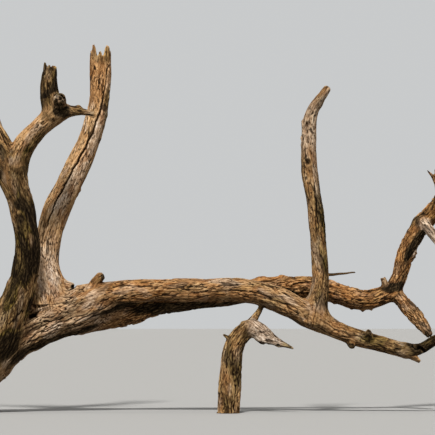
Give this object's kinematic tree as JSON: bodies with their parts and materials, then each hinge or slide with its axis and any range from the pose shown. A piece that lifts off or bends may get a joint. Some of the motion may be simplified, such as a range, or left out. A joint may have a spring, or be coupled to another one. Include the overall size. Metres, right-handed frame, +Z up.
{
  "type": "dead acacia tree",
  "caption": "Bare, weathered dead acacia rooted in the ground: leaning trunk that forks low, upright stems, long low limbs and a broken limb that props them.",
  "frame": {"origin": "middle of the trunk's flat cut at ground level", "axes": "+X the way the trunk leans and its long low limbs run, +Z up, -Y towards the viewer's side with the shaded stem"},
  "size_m": [6.3547, 1.6696, 4.1526],
  "materials": {
    "dry_wood": "weathered, bark gone, checked along the grain",
    "pale_wood": "bleached and dry",
    "shaded_wood": "weathered, dark streaks",
    "rusty_wood": "weathered, with rusty remains of bark",
    "dark_wood": "rotted and stained"
  },
  "bodies": {
    "root": {"trunk": "dry_wood", "near_stem": "shaded_wood", "far_stem": "dry_wood", "main_limb": "dry_wood", "far_limb": "rusty_wood", "inner_fork": "dry_wood", "outer_fork": "dry_wood", "outer_bough": "shaded_wood", "inner_fork_top": "shaded_wood", "inner_fork_spur": "shaded_wood", "knuckle_boss": "dark_wood", "collar_stub": "dry_wood", "top_stub": "pale_wood", "upright_limb": "dry_wood", "dry_twig": "dark_wood", "rising_limb": "rusty_wood", "drop_limb": "rusty_wood", "fork_stub": "dark_wood", "pale_spur": "pale_wood", "knot_stub": "dark_wood", "under_stub": "dark_wood", "end_fork": "dark_wood", "prop_foot": "dark_wood", "prop_neck": "shaded_wood", "prop_shard": "pale_wood", "foot_spur": "dark_wood"}
  },
  "joints": []
}
